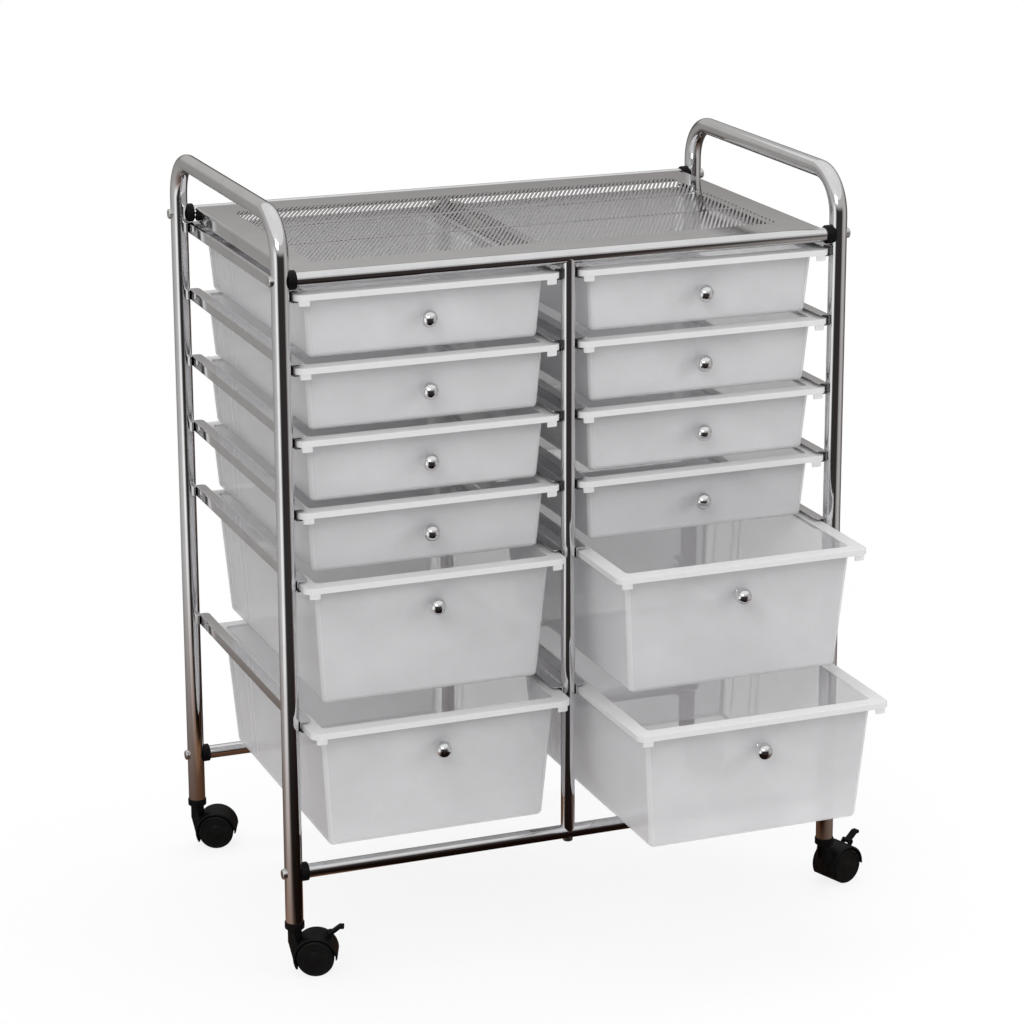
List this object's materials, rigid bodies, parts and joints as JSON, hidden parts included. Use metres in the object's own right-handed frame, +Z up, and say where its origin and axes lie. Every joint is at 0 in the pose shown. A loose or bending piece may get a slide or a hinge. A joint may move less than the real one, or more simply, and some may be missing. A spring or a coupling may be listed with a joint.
{
  "type": "rolling drawer cart",
  "caption": "Rolling cart of chromed tube with two columns of translucent sliding drawers, a flat top shelf, side handles and swivel casters.",
  "frame": {"origin": "on the floor, midway between the four legs", "axes": "+X to the cart's right as seen from the drawer fronts, +Y to the rear, +Z up"},
  "size_m": [0.6866, 0.5634, 0.8182],
  "materials": {
    "chrome": "bright chrome plate on steel tube and sheet",
    "polished_chrome": "mirror chrome",
    "drawer_plastic": "frosted translucent polypropylene, smooth rim",
    "black_plastic": "moulded black nylon, satin",
    "wheel_plastic": "moulded black wheel, satin",
    "zinc": "bright zinc plate"
  },
  "bodies": {
    "frame": {"left_side_frame": "chrome", "right_side_frame": "chrome", "centre_front_post": "chrome", "centre_rear_post": "chrome", "top_front_bar": "chrome", "top_rear_bar": "chrome", "bottom_front_bar": "chrome", "bottom_rear_bar": "chrome", "top_shelf": "chrome", "left_runners": "chrome", "right_runners": "chrome", "centre_runners": "chrome", "bar_end_caps": "black_plastic", "frame_bolts": "zinc", "post_bolts": "zinc", "post_plugs": "black_plastic", "caster_sockets": "black_plastic", "caster_stems": "zinc"},
    "left_drawer_1": {"left_drawer_1": "drawer_plastic", "left_knob_1": "polished_chrome"},
    "left_drawer_2": {"left_drawer_2": "drawer_plastic", "left_knob_2": "polished_chrome"},
    "left_drawer_3": {"left_drawer_3": "drawer_plastic", "left_knob_3": "polished_chrome"},
    "left_drawer_4": {"left_drawer_4": "drawer_plastic", "left_knob_4": "polished_chrome"},
    "left_drawer_5": {"left_drawer_5": "drawer_plastic", "left_knob_5": "polished_chrome"},
    "left_drawer_6": {"left_drawer_6": "drawer_plastic", "left_knob_6": "polished_chrome"},
    "right_drawer_1": {"right_drawer_1": "drawer_plastic", "right_knob_1": "polished_chrome"},
    "right_drawer_2": {"right_drawer_2": "drawer_plastic", "right_knob_2": "polished_chrome"},
    "right_drawer_3": {"right_drawer_3": "drawer_plastic", "right_knob_3": "polished_chrome"},
    "right_drawer_4": {"right_drawer_4": "drawer_plastic", "right_knob_4": "polished_chrome"},
    "right_drawer_5": {"right_drawer_5": "drawer_plastic", "right_knob_5": "polished_chrome"},
    "right_drawer_6": {"right_drawer_6": "drawer_plastic", "right_knob_6": "polished_chrome"},
    "front_left_caster": {"front_left_hood": "black_plastic", "front_left_axle": "zinc"},
    "front_left_wheel_inner": {"front_left_wheel_inner": "wheel_plastic"},
    "front_left_wheel_outer": {"front_left_wheel_outer": "wheel_plastic"},
    "front_left_brake_lever": {"front_left_brake_lever": "black_plastic"},
    "front_right_caster": {"front_right_hood": "black_plastic", "front_right_axle": "zinc"},
    "front_right_wheel_inner": {"front_right_wheel_inner": "wheel_plastic"},
    "front_right_wheel_outer": {"front_right_wheel_outer": "wheel_plastic"},
    "front_right_brake_lever": {"front_right_brake_lever": "black_plastic"},
    "rear_left_caster": {"rear_left_hood": "black_plastic", "rear_left_axle": "zinc"},
    "rear_left_wheel_inner": {"rear_left_wheel_inner": "wheel_plastic"},
    "rear_left_wheel_outer": {"rear_left_wheel_outer": "wheel_plastic"},
    "rear_right_caster": {"rear_right_hood": "black_plastic", "rear_right_axle": "zinc"},
    "rear_right_wheel_inner": {"rear_right_wheel_inner": "wheel_plastic"},
    "rear_right_wheel_outer": {"rear_right_wheel_outer": "wheel_plastic"}
  },
  "joints": [
    {"name": "left_drawer_1_slide", "type": "slide", "parent": "frame", "child": "left_drawer_1", "axis": [0, -1, 0], "range_m": [0, 0.28]},
    {"name": "left_drawer_2_slide", "type": "slide", "parent": "frame", "child": "left_drawer_2", "axis": [0, -1, 0], "range_m": [0, 0.28]},
    {"name": "left_drawer_3_slide", "type": "slide", "parent": "frame", "child": "left_drawer_3", "axis": [0, -1, 0], "range_m": [0, 0.28]},
    {"name": "left_drawer_4_slide", "type": "slide", "parent": "frame", "child": "left_drawer_4", "axis": [0, -1, 0], "range_m": [0, 0.28]},
    {"name": "left_drawer_5_slide", "type": "slide", "parent": "frame", "child": "left_drawer_5", "axis": [0, -1, 0], "range_m": [-0.016, 0.264]},
    {"name": "left_drawer_6_slide", "type": "slide", "parent": "frame", "child": "left_drawer_6", "axis": [0, -1, 0], "range_m": [-0.03, 0.25]},
    {"name": "right_drawer_1_slide", "type": "slide", "parent": "frame", "child": "right_drawer_1", "axis": [0, -1, 0], "range_m": [0, 0.28]},
    {"name": "right_drawer_2_slide", "type": "slide", "parent": "frame", "child": "right_drawer_2", "axis": [0, -1, 0], "range_m": [0, 0.28]},
    {"name": "right_drawer_3_slide", "type": "slide", "parent": "frame", "child": "right_drawer_3", "axis": [0, -1, 0], "range_m": [0, 0.28]},
    {"name": "right_drawer_4_slide", "type": "slide", "parent": "frame", "child": "right_drawer_4", "axis": [0, -1, 0], "range_m": [0, 0.28]},
    {"name": "right_drawer_5_slide", "type": "slide", "parent": "frame", "child": "right_drawer_5", "axis": [0, -1, 0], "range_m": [-0.104, 0.176]},
    {"name": "right_drawer_6_slide", "type": "slide", "parent": "frame", "child": "right_drawer_6", "axis": [0, -1, 0], "range_m": [-0.16, 0.12]},
    {"name": "front_left_swivel", "type": "hinge", "parent": "frame", "child": "front_left_caster", "pos_m": [-0.3105, -0.187, 0.045], "axis": [0, 0, 1], "continuous": true},
    {"name": "front_left_wheel_inner_spin", "type": "hinge", "parent": "front_left_caster", "child": "front_left_wheel_inner", "pos_m": [-0.29003, -0.19506, 0.02], "axis": [0.3665, 0.9304, 0], "continuous": true},
    {"name": "front_left_wheel_outer_spin", "type": "hinge", "parent": "front_left_caster", "child": "front_left_wheel_outer", "pos_m": [-0.29003, -0.19506, 0.02], "axis": [0.3665, 0.9304, 0], "continuous": true},
    {"name": "front_left_brake", "type": "hinge", "parent": "front_left_caster", "child": "front_left_brake_lever", "pos_m": [-0.27603, -0.20058, 0.0423], "axis": [0.3665, 0.9304, 0], "range_deg": [0, 25]},
    {"name": "front_right_swivel", "type": "hinge", "parent": "frame", "child": "front_right_caster", "pos_m": [0.3105, -0.187, 0.045], "axis": [0, 0, 1], "continuous": true},
    {"name": "front_right_wheel_inner_spin", "type": "hinge", "parent": "front_right_caster", "child": "front_right_wheel_inner", "pos_m": [0.33142, -0.1802, 0.02], "axis": [-0.309, 0.9511, 0], "continuous": true},
    {"name": "front_right_wheel_outer_spin", "type": "hinge", "parent": "front_right_caster", "child": "front_right_wheel_outer", "pos_m": [0.33142, -0.1802, 0.02], "axis": [-0.309, 0.9511, 0], "continuous": true},
    {"name": "front_right_brake", "type": "hinge", "parent": "front_right_caster", "child": "front_right_brake_lever", "pos_m": [0.34573, -0.17555, 0.0423], "axis": [-0.309, 0.9511, 0], "range_deg": [0, 25]},
    {"name": "rear_left_swivel", "type": "hinge", "parent": "frame", "child": "rear_left_caster", "pos_m": [-0.3105, 0.187, 0.045], "axis": [0, 0, 1], "continuous": true},
    {"name": "rear_left_wheel_inner_spin", "type": "hinge", "parent": "rear_left_caster", "child": "rear_left_wheel_inner", "pos_m": [-0.29003, 0.17894, 0.02], "axis": [0.3665, 0.9304, 0], "continuous": true},
    {"name": "rear_left_wheel_outer_spin", "type": "hinge", "parent": "rear_left_caster", "child": "rear_left_wheel_outer", "pos_m": [-0.29003, 0.17894, 0.02], "axis": [0.3665, 0.9304, 0], "continuous": true},
    {"name": "rear_right_swivel", "type": "hinge", "parent": "frame", "child": "rear_right_caster", "pos_m": [0.3105, 0.187, 0.045], "axis": [0, 0, 1], "continuous": true},
    {"name": "rear_right_wheel_inner_spin", "type": "hinge", "parent": "rear_right_caster", "child": "rear_right_wheel_inner", "pos_m": [0.33097, 0.17894, 0.02], "axis": [0.3665, 0.9304, 0], "continuous": true},
    {"name": "rear_right_wheel_outer_spin", "type": "hinge", "parent": "rear_right_caster", "child": "rear_right_wheel_outer", "pos_m": [0.33097, 0.17894, 0.02], "axis": [0.3665, 0.9304, 0], "continuous": true}
  ]
}
